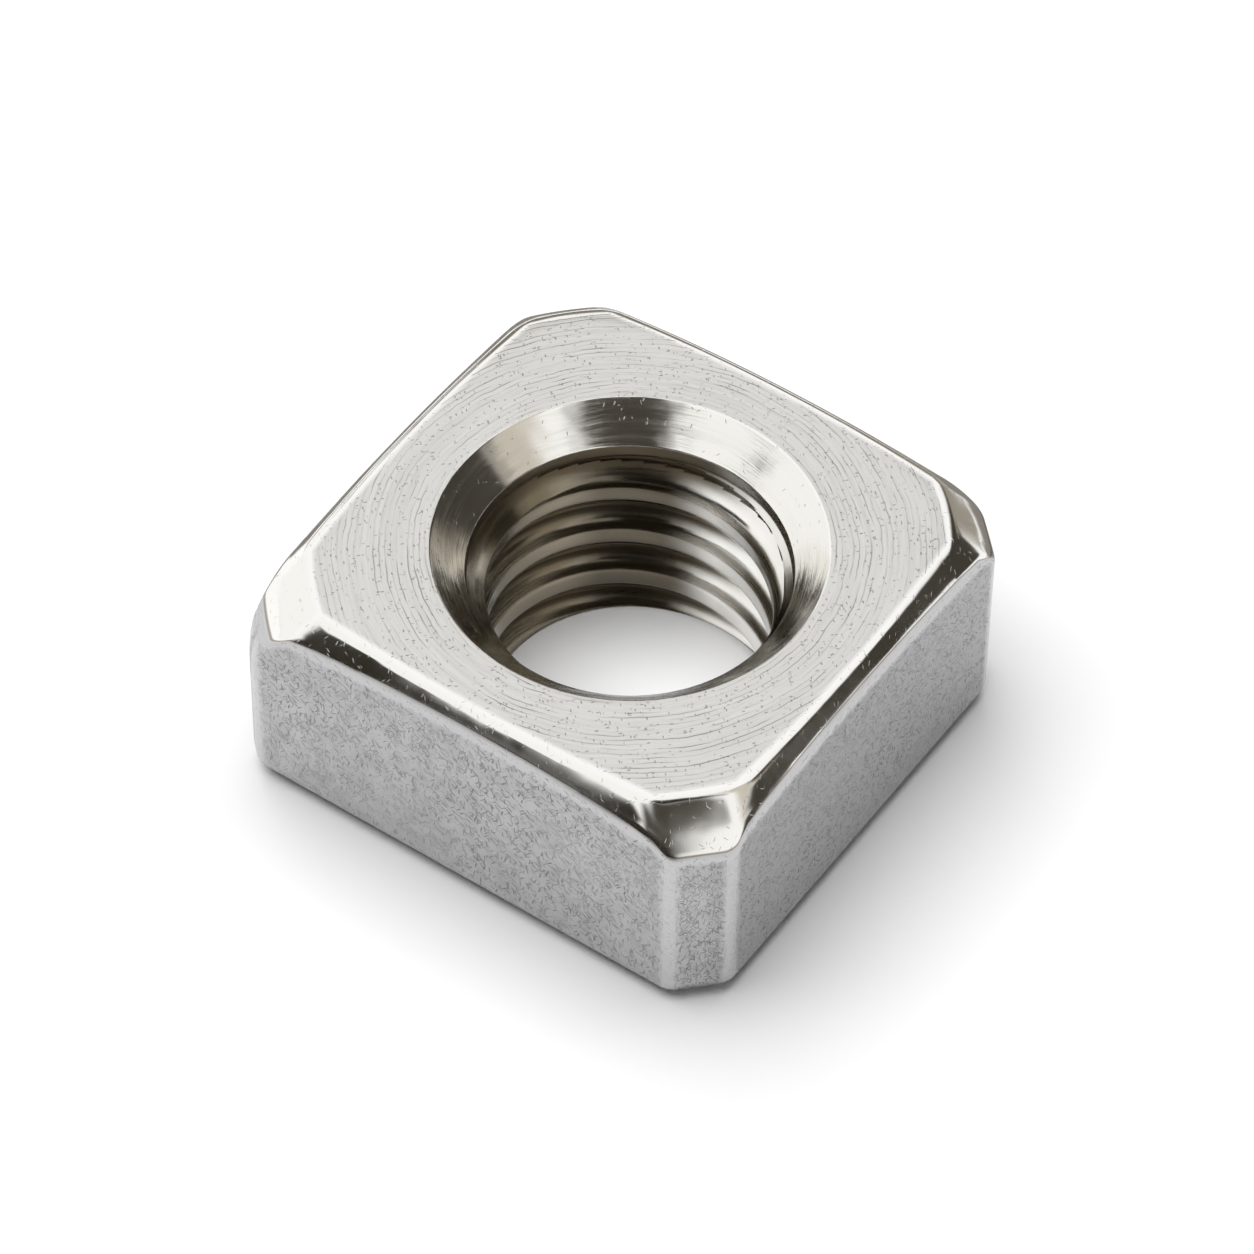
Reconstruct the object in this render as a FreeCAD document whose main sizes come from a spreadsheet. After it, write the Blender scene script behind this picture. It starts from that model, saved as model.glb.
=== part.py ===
"""Square nut: one piece of plated steel, headed from bar, chamfered and tapped.

Frame: +Z up along the thread axis, the bearing face on z = 0 and the thread
axis through the origin. Millimetres. The nut lies with its chamfered face up
and its four sides square to X and Y.
"""
import FreeCAD
import Part
import math
import os
import Sketcher

os.makedirs("parts", exist_ok=True)

doc = FreeCAD.newDocument("square_nut")

# Dimensions

sheet = doc.addObject("Spreadsheet::Sheet", "dims")
dims = [
    ("width_x", 11.1, "width over the sides that face along X"),
    ("width_y", 10.8, "width over the sides that face along Y"),
    ("height", 5.20, "bearing face to chamfered face"),
    ("corner_crop", 0.65, "leg of the flat that breaks an upright corner, mean of the four"),
    ("crop_drift", 0.23, "how much fuller the two corners on -X are, and how much barer the others"),
    ("corner_blend", 0.45, "rounding from that flat into the two sides"),
    ("foot_round", 0.55, "rounding of the outline at the bearing face"),
    ("bevel_inset", 0.42, "width of the side bevel at mid side, seen from above"),
    ("bevel_angle", 48.0, "slope of the side bevel in degrees"),
    ("bevel_sweep", 40.0, "radius of the slow curve of the top outline"),
    ("turned_inset", 1.14, "how far in from the mean cropped corner the turned chamfer starts"),
    ("turned_angle", 45.0, "slope of the turned chamfer in degrees"),
    ("shoulder_inset", 0.26, "how far in from a full corner the chamfer breaks into a shoulder"),
    ("shoulder_round", 2.20, "radius on which that shoulder rolls over to the upright"),
    ("shoulder_from", 62.0, "slope in degrees just past the break"),
    ("shoulder_to", 80.0, "slope in degrees at which the roll ends"),
    ("top_round", 0.30, "rounding that leads from the top face into both"),
    ("top_start", 8.0, "slope in degrees at which that rounding begins"),
    ("thread_major", 6.35, "diameter over the thread roots, the nominal size"),
    ("thread_depth", 0.375, "height of the thread, crest to root"),
    ("pitch", 1.27, "one turn of the thread"),
    ("flank_angle", 30.0, "slope of each thread flank in degrees"),
    ("root_width", 0.16, "flat at the floor of the thread"),
    ("crest_round", 0.35, "radius that eases a crest into its flanks"),
    ("thread_start", 1.34, "how far below the bearing face the groove sets out, on the X side"),
    ("thread_lap", 0.006, "how far the groove's section rides over the crests"),
    ("sink_depth", 0.685, "depth of the countersink in the top face"),
    ("sink_angle", 45.0, "slope of both countersinks in degrees"),
    ("relief_gap", 0.015, "how far the plain wall under it clears the thread roots"),
    ("relief_height", 0.265, "height of that wall"),
    ("lead_angle", 45.0, "slope that leads from that wall to the first crest in degrees"),
    ("foot_sink_depth", 0.10, "depth of the countersink in the bearing face"),
    ("overshoot", 0.5, "how far a cutting section stands clear of the nut"),
    ("reach", 2.0, "how far a chamfer's section runs on outwards"),
]
for row, (name, value, note) in enumerate(dims, start=1):
    sheet.set("A%d" % row, name)
    sheet.set("B%d" % row, str(value))
    sheet.set("C%d" % row, note)
    sheet.setAlias("B%d" % row, name)
doc.recompute()


def dim(name):
    """The value of one named dimension."""
    return float(sheet.get(name))


# The body, its planes and the helpers for sketches

nut = doc.addObject("PartDesign::Body", "nut")
nut.Label = "nut"

POINT_OF = {"start": 1, "end": 2}
START, END = POINT_OF["start"], POINT_OF["end"]
ORIGIN = (-1, START)


def plane(role):
    """One of the body's own base planes or axes."""
    for item in nut.Origin.OriginFeatures:
        if item.Role == role:
            return item
    raise ValueError(role)


def sketch_on(role, name):
    """An empty sketch on a base plane of the body."""
    sk = nut.newObject("Sketcher::SketchObject", name)
    sk.AttachmentSupport = [(plane(role), "")]
    sk.MapMode = "FlatFace"
    return sk


def line(sk, a, b):
    """A straight line between two points."""
    return sk.addGeometry(Part.LineSegment(FreeCAD.Vector(*a, 0), FreeCAD.Vector(*b, 0)), False)


def arc(sk, centre, radius, start, end):
    """An arc between two angles in degrees, anticlockwise."""
    circle = Part.Circle(FreeCAD.Vector(*centre, 0), FreeCAD.Vector(0, 0, 1), radius)
    return sk.addGeometry(Part.ArcOfCircle(circle, math.radians(start), math.radians(end)), False)


def tie(sk, kind, *args):
    """A constraint that holds by itself."""
    return sk.addConstraint(Sketcher.Constraint(kind, *args))


def set_by(sk, kind, *args, value, rule):
    """A dimension of a sketch that follows the sheet."""
    index = sk.addConstraint(Sketcher.Constraint(kind, *args, value))
    sk.setExpression("Constraints[%d]" % index, rule)
    return index


def ring(sk, points):
    """Closed ring of straight lines through points, each placed by two rules.

    A point is (x, y, rule for x, rule for y). A point left of or below the
    origin is measured from its own side, so that every distance is positive.
    """
    count = len(points)
    ids = [line(sk, points[i][:2], points[(i + 1) % count][:2]) for i in range(count)]
    for i in range(count):
        tie(sk, "Coincident", ids[i], END, ids[(i + 1) % count], START)
    for i, (x, y, rule_x, rule_y) in enumerate(points):
        for kind, value, rule in (("DistanceX", x, rule_x), ("DistanceY", y, rule_y)):
            if abs(value) < 1e-9:
                axis = (-2,) if kind == "DistanceX" else (-1,)
                tie(sk, "PointOnObject", ids[i], START, *axis)
            elif value > 0:
                set_by(sk, kind, *ORIGIN, ids[i], START, value=value, rule=rule)
            else:
                set_by(sk, kind, ids[i], START, *ORIGIN, value=-value, rule=rule)
    return ids


def settle(label):
    """Recompute, and stop at once if a feature has failed."""
    doc.recompute()
    for item in doc.Objects:
        if "Invalid" in item.State or "Error" in item.State:
            raise RuntimeError("%s: %s is in error" % (label, item.Name))
    shape = nut.Shape
    if shape.isNull() or not shape.isValid() or len(shape.Solids) != 1:
        raise RuntimeError("%s: the body is not one valid solid" % label)
    return shape.Volume


def edges_where(feature, test):
    """Names of the edges of one feature that pass a test."""
    found = []
    for i, edge in enumerate(feature.Shape.Edges, start=1):
        if test(edge):
            found.append("Edge%d" % i)
    return found


def upright(edge):
    """True of a straight edge that runs parallel to the thread axis."""
    a, b = edge.Vertexes[0].Point, edge.Vertexes[-1].Point
    return abs(a.x - b.x) < 1e-6 and abs(a.y - b.y) < 1e-6 and abs(a.z - b.z) > 1e-3


def at_corner(edge, side):
    """True of an edge at one of the block's own corners, on the +X or the -X side."""
    x, y = edge.Vertexes[0].X * side, abs(edge.Vertexes[0].Y)
    return abs(x - dim("width_x") / 2) < 1e-6 and abs(y - dim("width_y") / 2) < 1e-6


def level(edge, z):
    """True of an edge that lies wholly at one height."""
    box = edge.BoundBox
    return abs(box.ZMin - z) < 1e-6 and abs(box.ZMax - z) < 1e-6


# Square block

outline = sketch_on("XY_Plane", "outline")
half_x = dim("width_x") / 2
half_y = dim("width_y") / 2
sides = [
    line(outline, (-half_x, -half_y), (half_x, -half_y)),
    line(outline, (half_x, -half_y), (half_x, half_y)),
    line(outline, (half_x, half_y), (-half_x, half_y)),
    line(outline, (-half_x, half_y), (-half_x, -half_y)),
]
for i in range(4):
    tie(outline, "Coincident", sides[i], END, sides[(i + 1) % 4], START)
    tie(outline, "Vertical" if i % 2 else "Horizontal", sides[i])
tie(outline, "Symmetric", sides[0], START, sides[2], START, *ORIGIN)
set_by(outline, "DistanceX", sides[0], START, sides[0], END, value=2 * half_x, rule="dims.width_x")
set_by(outline, "DistanceY", sides[1], START, sides[1], END, value=2 * half_y, rule="dims.width_y")

block = nut.newObject("PartDesign::Pad", "block")
block.Profile = outline
block.setExpression("Length", "dims.height")
volume = settle("block")

# Upright corners, cropped and eased into the sides. The bar sat a little off the axis,
# so the two corners on -X have kept more of their metal than the two on +X.

crop = block
for tag, side, rule in (
    ("bare", 1, "dims.corner_crop + dims.crop_drift"),
    ("full", -1, "dims.corner_crop - dims.crop_drift"),
):
    pair = edges_where(crop, lambda e: upright(e) and at_corner(e, side))
    before = crop
    crop = nut.newObject("PartDesign::Chamfer", tag + "_corners")
    crop.Base = (before, pair)
    crop.setExpression("Size", rule)
    settle(tag + " corners")

blend = nut.newObject("PartDesign::Fillet", "corner_blend")
blend.Base = (crop, edges_where(crop, upright))
blend.setExpression("Radius", "dims.corner_blend")
volume = settle("corner blend")

# Edges of the top face, each eased out of that face before it falls away

over = dim("overshoot")
reach = dim("reach")
top = dim("height")


def eased_section(sk, radius, radius_rule, angle_name, break_at=None, break_rule=""):
    """Section of a ring that takes an edge off: a gentle start, an arc, then a straight cone.

    With break_at, the cone breaks at that radius into a shoulder that rolls towards the upright.
    """
    soft = dim("top_round")
    gentle = math.radians(dim("top_start"))
    steep = math.radians(dim(angle_name))
    back = (radius - over, top + over * math.tan(gentle))
    centre = (radius - soft * math.sin(gentle), top - soft * math.cos(gentle))
    leave = (centre[0] + soft * math.sin(steep), centre[1] + soft * math.cos(steep))
    out_x = radius + reach
    lead_in = line(sk, back, (radius, top))
    bend = arc(sk, centre, soft, 90 - math.degrees(steep), 90 - math.degrees(gentle))
    if break_at is None:
        out = (out_x, leave[1] - (out_x - leave[0]) * math.tan(steep))
        cone = line(sk, leave, out)
        last, last_end = cone, END
    else:
        wide = dim("shoulder_round")
        first = math.radians(dim("shoulder_from"))
        final = math.radians(dim("shoulder_to"))
        break_z = leave[1] - (break_at - leave[0]) * math.tan(steep)
        hub = (break_at - wide * math.sin(first), break_z - wide * math.cos(first))
        past = (hub[0] + wide * math.sin(final), hub[1] + wide * math.cos(final))
        out_x = past[0] + over
        out = (out_x, past[1] - over * math.tan(final))
        cone = line(sk, leave, (break_at, break_z))
        roll = arc(sk, hub, wide, 90 - math.degrees(final), 90 - math.degrees(first))
        last, last_end = line(sk, out, past), START
        tie(sk, "Coincident", cone, END, roll, END)
        tie(sk, "Tangent", roll, START, last, END)
        set_by(sk, "DistanceX", *ORIGIN, roll, END, value=break_at, rule=break_rule)
        set_by(sk, "Radius", roll, value=wide, rule="dims.shoulder_round")
        set_by(sk, "Angle", roll, value=final - first, rule="dims.shoulder_to - dims.shoulder_from")
        set_by(sk, "Angle", last, value=math.pi - final, rule="180 - dims.shoulder_to")
    wall = line(sk, out, (out_x, top + over))
    lid = line(sk, (out_x, top + over), (back[0], top + over))
    close = line(sk, (back[0], top + over), back)
    tie(sk, "Tangent", lead_in, END, bend, END)
    tie(sk, "Tangent", bend, START, cone, START)
    tie(sk, "Coincident", last, last_end, wall, START)
    tie(sk, "Coincident", wall, END, lid, START)
    tie(sk, "Coincident", lid, END, close, START)
    tie(sk, "Coincident", close, END, lead_in, START)
    tie(sk, "Vertical", wall)
    tie(sk, "Horizontal", lid)
    tie(sk, "Vertical", close)
    set_by(sk, "DistanceX", *ORIGIN, bend, END, value=radius, rule=radius_rule)
    set_by(sk, "DistanceY", *ORIGIN, bend, END, value=top, rule="dims.height")
    set_by(sk, "Radius", bend, value=soft, rule="dims.top_round")
    set_by(sk, "Angle", bend, value=steep - gentle, rule="dims.%s - dims.top_start" % angle_name)
    set_by(sk, "DistanceX", *ORIGIN, close, START, value=back[0],
           rule=radius_rule + " - dims.overshoot")
    set_by(sk, "DistanceY", bend, END, close, END, value=back[1] - top,
           rule="dims.overshoot * tan(dims.top_start)")
    if break_at is None:
        set_by(sk, "DistanceX", *ORIGIN, wall, START, value=out_x,
               rule=radius_rule + " + dims.reach")
    else:
        set_by(sk, "DistanceX", last, END, wall, START, value=over, rule="dims.overshoot")
    set_by(sk, "DistanceY", *ORIGIN, lid, START, value=top + over,
           rule="dims.height + dims.overshoot")


# Turned chamfer, which reaches only the corners

turned_section = sketch_on("XZ_Plane", "turned_section")
corner_distance = (dim("width_x") + dim("width_y") - 2 * dim("corner_crop")) / math.sqrt(8)
full_distance = corner_distance + dim("crop_drift") / math.sqrt(2)
corner_rule = "(dims.width_x + dims.width_y - 2 * dims.corner_crop) / sqrt(8)"
eased_section(
    turned_section, corner_distance - dim("turned_inset"), corner_rule + " - dims.turned_inset",
    "turned_angle", full_distance - dim("shoulder_inset"),
    corner_rule + " + dims.crop_drift / sqrt(2) - dims.shoulder_inset")

turned_cut = nut.newObject("PartDesign::Groove", "turned_chamfer")
turned_cut.Profile = turned_section
turned_cut.ReferenceAxis = (plane("Z_Axis"), [""])
turned_cut.Angle = 360.0
cut = volume - settle("turned chamfer")
print("turned chamfer takes", round(cut, 3), "mm3")
volume -= cut

# Side bevels, one slow cone for each side

for role, width in (("XZ_Plane", "width_x"), ("YZ_Plane", "width_y")):
    tag = width[-1]
    section = sketch_on(role, "bevel_section_" + tag)
    section.AttachmentOffset = FreeCAD.Placement(
        FreeCAD.Vector(dim(width) / 2 - dim("bevel_inset") - dim("bevel_sweep"), 0, 0),
        FreeCAD.Rotation())
    section.setExpression(
        "AttachmentOffset.Base.x", "dims.%s / 2 - dims.bevel_inset - dims.bevel_sweep" % width)
    eased_section(section, dim("bevel_sweep"), "dims.bevel_sweep", "bevel_angle")
    bevel = nut.newObject("PartDesign::Groove", "side_bevel_" + tag)
    bevel.Profile = section
    bevel.ReferenceAxis = (section, ["V_Axis"])
    bevel.Angle = 24.0
    bevel.Midplane = True
    settle("side bevel")
    pair = nut.newObject("PartDesign::PolarPattern", "side_bevels_" + tag)
    pair.Originals = [bevel]
    pair.Axis = (plane("Z_Axis"), [""])
    pair.Angle = 360.0
    pair.Occurrences = 2
    nut.Tip = pair
    cut = volume - settle("side bevels")
    print("side bevels take", round(cut, 3), "mm3")
    volume -= cut

corners = [e for e in pair.Shape.Edges if level(e, top)]
if len(corners) != 8:
    raise RuntimeError("the top face has %d edges, not four sides and four corners" % len(corners))

# Soft outline at the bearing face

foot = nut.newObject("PartDesign::Fillet", "foot_round")
foot.Base = (pair, edges_where(pair, lambda e: level(e, 0.0)))
foot.setExpression("Radius", "dims.foot_round")
cut = volume - settle("foot round")
print("foot round takes", round(cut, 3), "mm3")
volume -= cut

# Bore with a countersink at each end

bore_section = sketch_on("XZ_Plane", "bore_section")
root = dim("thread_major") / 2
crest = root - dim("thread_depth")
relief = root + dim("relief_gap")
sink = math.tan(math.radians(dim("sink_angle")))
lead = math.tan(math.radians(dim("lead_angle")))
sink_end = top - dim("sink_depth")
wall_end = sink_end - dim("relief_height")
foot_end = dim("foot_sink_depth")
root_rule = "dims.thread_major / 2"
crest_rule = root_rule + " - dims.thread_depth"
relief_rule = root_rule + " + dims.relief_gap"
sink_end_rule = "dims.height - dims.sink_depth"
wall_end_rule = sink_end_rule + " - dims.relief_height"
lead_rule = " - (dims.thread_depth + dims.relief_gap) * tan(dims.lead_angle)"
over_rule = "dims.overshoot"
top_rule = "dims.height + dims.overshoot"
ring(bore_section, [
    (0.0, -over, "", over_rule),
    (crest + (foot_end + over) / sink, -over,
     crest_rule + " + (dims.foot_sink_depth + dims.overshoot) / tan(dims.sink_angle)", over_rule),
    (crest, foot_end, crest_rule, "dims.foot_sink_depth"),
    (crest, wall_end - (relief - crest) * lead, crest_rule, wall_end_rule + lead_rule),
    (relief, wall_end, relief_rule, wall_end_rule),
    (relief, sink_end, relief_rule, sink_end_rule),
    (relief + (dim("sink_depth") + over) / sink, top + over,
     relief_rule + " + (dims.sink_depth + dims.overshoot) / tan(dims.sink_angle)", top_rule),
    (0.0, top + over, "", top_rule),
])
bore = nut.newObject("PartDesign::Groove", "bore")
bore.Profile = bore_section
bore.ReferenceAxis = (plane("Z_Axis"), [""])
bore.Angle = 360.0
cut = volume - settle("bore")
print("bore takes", round(cut, 3), "mm3")
volume -= cut

# Thread groove, right handed, swept from below the nut to above it

thread_section = sketch_on("XZ_Plane", "thread_section")
floor = dim("root_width") / 2
crest_r = dim("crest_round")
flank = math.radians(dim("flank_angle"))
face = crest - dim("thread_lap")
meet = floor + (root - face) * math.tan(flank)
touch = crest_r * math.tan((math.pi / 2 - flank) / 2)
start_x = face + touch * math.cos(flank)
start_y = meet - touch * math.sin(flank)
end_y = meet + touch
inner = crest - over
low = -dim("thread_start")
lean = dim("flank_angle")

root_flat = line(thread_section, (root, low - floor), (root, low + floor))
upper_flank = line(thread_section, (root, low + floor), (start_x, low + start_y))
upper_crest = arc(thread_section, (face + crest_r, low + end_y), crest_r, 180, 270 - lean)
upper_step = line(thread_section, (face, low + end_y), (inner, low + end_y))
mouth = line(thread_section, (inner, low + end_y), (inner, low - end_y))
lower_step = line(thread_section, (inner, low - end_y), (face, low - end_y))
lower_crest = arc(thread_section, (face + crest_r, low - end_y), crest_r, 90 + lean, 180)
lower_flank = line(thread_section, (start_x, low - start_y), (root, low - floor))
tie(thread_section, "Coincident", root_flat, END, upper_flank, START)
tie(thread_section, "Tangent", upper_flank, END, upper_crest, END)
tie(thread_section, "Perpendicular", upper_crest, START, upper_step, START)
tie(thread_section, "Coincident", upper_step, END, mouth, START)
tie(thread_section, "Coincident", mouth, END, lower_step, START)
tie(thread_section, "Perpendicular", lower_step, END, lower_crest, END)
tie(thread_section, "Tangent", lower_crest, START, lower_flank, START)
tie(thread_section, "Coincident", lower_flank, END, root_flat, START)
tie(thread_section, "Vertical", root_flat)
tie(thread_section, "Vertical", mouth)
tie(thread_section, "Horizontal", upper_step)
tie(thread_section, "Horizontal", lower_step)
tie(thread_section, "Equal", upper_crest, lower_crest)
tie(thread_section, "Equal", upper_flank, lower_flank)
set_by(thread_section, "DistanceX", *ORIGIN, root_flat, START, value=root,
       rule=root_rule)
set_by(thread_section, "DistanceY", root_flat, START, *ORIGIN, value=floor - low,
       rule="dims.thread_start + dims.root_width / 2")
set_by(thread_section, "DistanceY", root_flat, START, root_flat, END, value=2 * floor,
       rule="dims.root_width")
set_by(thread_section, "Angle", upper_flank, value=math.pi - flank, rule="180 - dims.flank_angle")
set_by(thread_section, "Radius", upper_crest, value=crest_r, rule="dims.crest_round")
set_by(thread_section, "DistanceX", *ORIGIN, upper_crest, START, value=face,
       rule=crest_rule + " - dims.thread_lap")
set_by(thread_section, "DistanceX", *ORIGIN, lower_crest, END, value=face,
       rule=crest_rule + " - dims.thread_lap")
set_by(thread_section, "DistanceX", *ORIGIN, mouth, START, value=inner,
       rule=crest_rule + " - dims.overshoot")

thread = nut.newObject("PartDesign::SubtractiveHelix", "thread")
thread.Profile = thread_section
thread.ReferenceAxis = (plane("Z_Axis"), [""])
thread.Mode = "pitch-height-angle"
thread.setExpression("Pitch", "dims.pitch")
thread.setExpression("Height", "dims.height + dims.thread_start + dims.pitch")
thread.Angle = 0.0
thread.LeftHanded = False
thread.Refine = False
cut = volume - settle("thread")
print("thread takes", round(cut, 3), "mm3")
volume -= cut
nut.Tip = thread
doc.recompute()

# Check and hand over

for sk in [item for item in doc.Objects if item.TypeId == "Sketcher::SketchObject"]:
    print(sk.Name, "free", sk.solve(), "degrees left", sk.DoF if hasattr(sk, "DoF") else "")
final = nut.Shape
box = final.BoundBox
print("box", [round(v, 4) for v in (box.XMin, box.XMax, box.YMin, box.YMax, box.ZMin, box.ZMax)])
print("volume", round(final.Volume, 3), "faces", len(final.Faces), "valid", final.isValid())
final.exportStep("parts/nut.step")
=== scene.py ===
# %% [markdown]
# # A square nut
#
# A small square nut of plated steel. Its top face was turned on a lathe, its sides were
# tumbled with others of its kind, and its bevels and countersink are polished. The packed
# model holds the true form. This file gives it a skin fine enough for mirror reflections,
# the finishes of the real thing, and a small photo studio.

import math

import bpy
import numpy as np
from mathutils import Matrix, Vector


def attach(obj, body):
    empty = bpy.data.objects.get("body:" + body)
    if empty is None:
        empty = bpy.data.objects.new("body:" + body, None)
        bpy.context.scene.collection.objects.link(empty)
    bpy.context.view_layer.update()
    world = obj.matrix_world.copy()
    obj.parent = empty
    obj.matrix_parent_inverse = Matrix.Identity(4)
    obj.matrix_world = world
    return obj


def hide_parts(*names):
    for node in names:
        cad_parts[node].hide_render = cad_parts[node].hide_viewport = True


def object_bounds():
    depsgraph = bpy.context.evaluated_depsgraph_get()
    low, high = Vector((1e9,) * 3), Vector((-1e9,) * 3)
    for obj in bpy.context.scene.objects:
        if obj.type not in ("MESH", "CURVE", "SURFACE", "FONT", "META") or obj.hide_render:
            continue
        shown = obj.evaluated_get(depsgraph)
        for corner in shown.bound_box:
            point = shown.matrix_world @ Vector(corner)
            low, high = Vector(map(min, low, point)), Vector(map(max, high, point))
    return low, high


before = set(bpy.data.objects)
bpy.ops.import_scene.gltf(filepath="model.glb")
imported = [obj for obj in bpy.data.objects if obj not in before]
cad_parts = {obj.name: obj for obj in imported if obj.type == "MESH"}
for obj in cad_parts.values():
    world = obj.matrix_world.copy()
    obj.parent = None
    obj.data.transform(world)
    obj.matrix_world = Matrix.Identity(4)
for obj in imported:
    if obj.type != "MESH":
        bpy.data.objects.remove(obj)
cad_low, cad_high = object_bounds()
print("box of the packed nut in mm", [round(1000 * v, 3) for v in (*cad_low, *cad_high)])

# %% [markdown]
# ## Sizes
#
# Everything is worked out in millimetres and turned into metres when the mesh is made. The
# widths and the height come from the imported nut. The rest are the sizes of its features, as
# its maker would give them.

# %% Sizes of the nut in millimetres
MM = 0.001
half_x = cad_high.x / MM
half_y = cad_high.y / MM
height = cad_high.z / MM

corner_crop = 0.65
crop_drift = 0.23
corner_blend = 0.45
foot_round = 0.55
bevel_inset = 0.42
bevel_slope = math.radians(48)
bevel_sweep = 40.0
turned_inset = 1.14
turned_slope = math.radians(45)
shoulder_inset = 0.26
shoulder_round = 2.20
shoulder_from = math.radians(62)
shoulder_to = math.radians(80)
top_round = 0.30
top_start = math.radians(8)

root_radius = 3.175
thread_depth = 0.375
crest_radius = root_radius - thread_depth
relief_radius = root_radius + 0.015
pitch = 1.27
flank = math.radians(30)
root_half = 0.08
crest_round = 0.50
thread_start = -1.34

sink_end = height - 0.685
wall_end = sink_end - 0.265
lead_start = wall_end - (relief_radius - crest_radius)
foot_sink = 0.10
sink_rim = relief_radius + (height - sink_end)

bevel_axis = {"x": half_x - bevel_inset - bevel_sweep, "y": half_y - bevel_inset - bevel_sweep}
crop_reach = half_x + half_y - corner_crop
turned_radius = crop_reach / math.sqrt(2) - turned_inset
break_radius = (crop_reach + crop_drift) / math.sqrt(2) - shoulder_inset
print("turned chamfer starts at radius", round(turned_radius, 3), "mm")

# %% [markdown]
# ## The form as a field
#
# The nut could be modelled by hand with loops and a bevel modifier, but its creases meet at
# odd angles and a mirror finish shows every shading fault. So the form is written as a field:
# a function that is zero on the surface and grows outwards. Each face of the nut is one simple
# field. The largest one wins, and where two nearly agree a soft maximum rounds the crease.
# Points can then be drawn onto the surface, and the field's slope gives their true normals.

# %% Helpers for fields
def soft_max(a, b, width):
    """The larger of two fields, rounded where they differ by less than width."""
    h = np.clip(width - np.abs(a - b), 0, None) / width
    return np.maximum(a, b) + 0.25 * width * h * h


def drop_of(beyond, slope):
    """How far below the top face a chamfer lies, at a distance beyond its start."""
    across = beyond + top_round * math.sin(top_start)
    turn = top_round * math.sin(slope)
    on_arc = top_round * math.cos(top_start) - np.sqrt(
        np.clip(top_round ** 2 - np.minimum(across, turn) ** 2, 0, None))
    return on_arc + np.clip(across - turn, 0, None) * math.tan(slope)


def off_arc(across, up, start, end):
    """Distance from the centre of an arc that runs on as a straight line beyond each end."""
    angle = np.arctan2(across, up)
    lean = np.clip(angle, start, end)
    shade_line = across * np.sin(lean) + up * np.cos(lean)
    return np.where((angle > start) & (angle < end), np.hypot(across, up), shade_line)


def eased_cone(beyond, z, slope, length, crown):
    """Distance from a chamfer: a gentle start, an arc, then a cone that polishing has crowned."""
    across = beyond + top_round * math.sin(top_start)
    up = z - height + top_round * math.cos(top_start)
    share = np.clip(beyond / length, 0, 1)
    return off_arc(across, up, top_start, slope) - top_round - 4 * crown * share * (1 - share)


break_height = height - float(drop_of(break_radius - turned_radius, turned_slope))
hub_radius = break_radius - shoulder_round * math.sin(shoulder_from)
hub_height = break_height - shoulder_round * math.cos(shoulder_from)


def rolled_shoulder(radius, z):
    """Distance from the shoulder below the chamfer, which is an arc and then a steep cone."""
    return off_arc(radius - hub_radius, z - hub_height, shoulder_from, shoulder_to) - shoulder_round


def shoulder_reach(z):
    """Radius of that shoulder at a height."""
    roll_end = hub_height + shoulder_round * math.cos(shoulder_to)
    up = np.maximum(z, roll_end) - hub_height
    on_arc = hub_radius + np.sqrt(np.clip(shoulder_round ** 2 - up ** 2, 0, None))
    return on_arc + np.clip(roll_end - z, 0, None) / math.tan(shoulder_to)


# %% The wall of the bore
CREST_OVERLAP = 0.006
GROOVE_CREASE = 0.02


def thread_wall(angle, z):
    """Radius of the bore wall at each angle and height: the countersinks, the relief and the thread."""
    plain = np.interp(
        z,
        [-1.0, 0.0, foot_sink, lead_start, wall_end, sink_end, height + 1.0],
        [crest_radius + foot_sink + 1.0, crest_radius + foot_sink, crest_radius, crest_radius,
         relief_radius, relief_radius, relief_radius + height + 1.0 - sink_end])
    turns = (z - thread_start) / pitch - angle / (2 * math.pi)
    away = np.abs(turns - np.round(turns)) * pitch
    crest_face = crest_radius - CREST_OVERLAP
    meet = root_half + (root_radius - crest_face) * math.tan(flank)
    touch = crest_round * math.tan((math.pi / 2 - flank) / 2)
    arc_from = meet - touch * math.sin(flank)
    arc_to = meet + touch
    straight = root_radius - (away - root_half) / math.tan(flank)
    rolled = crest_face + crest_round - np.sqrt(np.clip(crest_round ** 2 - (arc_to - away) ** 2, 0, None))
    groove = np.where(away < root_half, root_radius,
                      np.where(away < arc_from, straight,
                               np.where(away < arc_to, rolled, crest_face)))
    return soft_max(plain, groove, GROOVE_CREASE)


# %% The fields of the nut's faces
def sides_and_crops(x, y):
    """Distances from the four sides and from the four cropped corners."""
    corner = (np.abs(x) + np.abs(y) - crop_reach + crop_drift * np.sign(x)) / math.sqrt(2)
    return np.maximum(np.abs(x) - half_x, np.abs(y) - half_y), corner


def outline_field(x, y):
    """The outline of the nut seen from above, with its upright edges rounded."""
    blend_width = corner_blend * math.tan(math.pi / 8) * math.sin(math.pi / 4)
    return soft_max(*sides_and_crops(x, y), blend_width)


SHOULDER_CREASE = 0.050
BEVEL_CROWN = 0.014
TURNED_CROWN = 0.030
WALL_STEP = 1e-3


def beyond_bevel(near, far, across):
    """How far a place lies beyond the start of a side bevel."""
    return np.hypot(np.abs(near) - bevel_axis[across], far) - bevel_sweep


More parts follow.
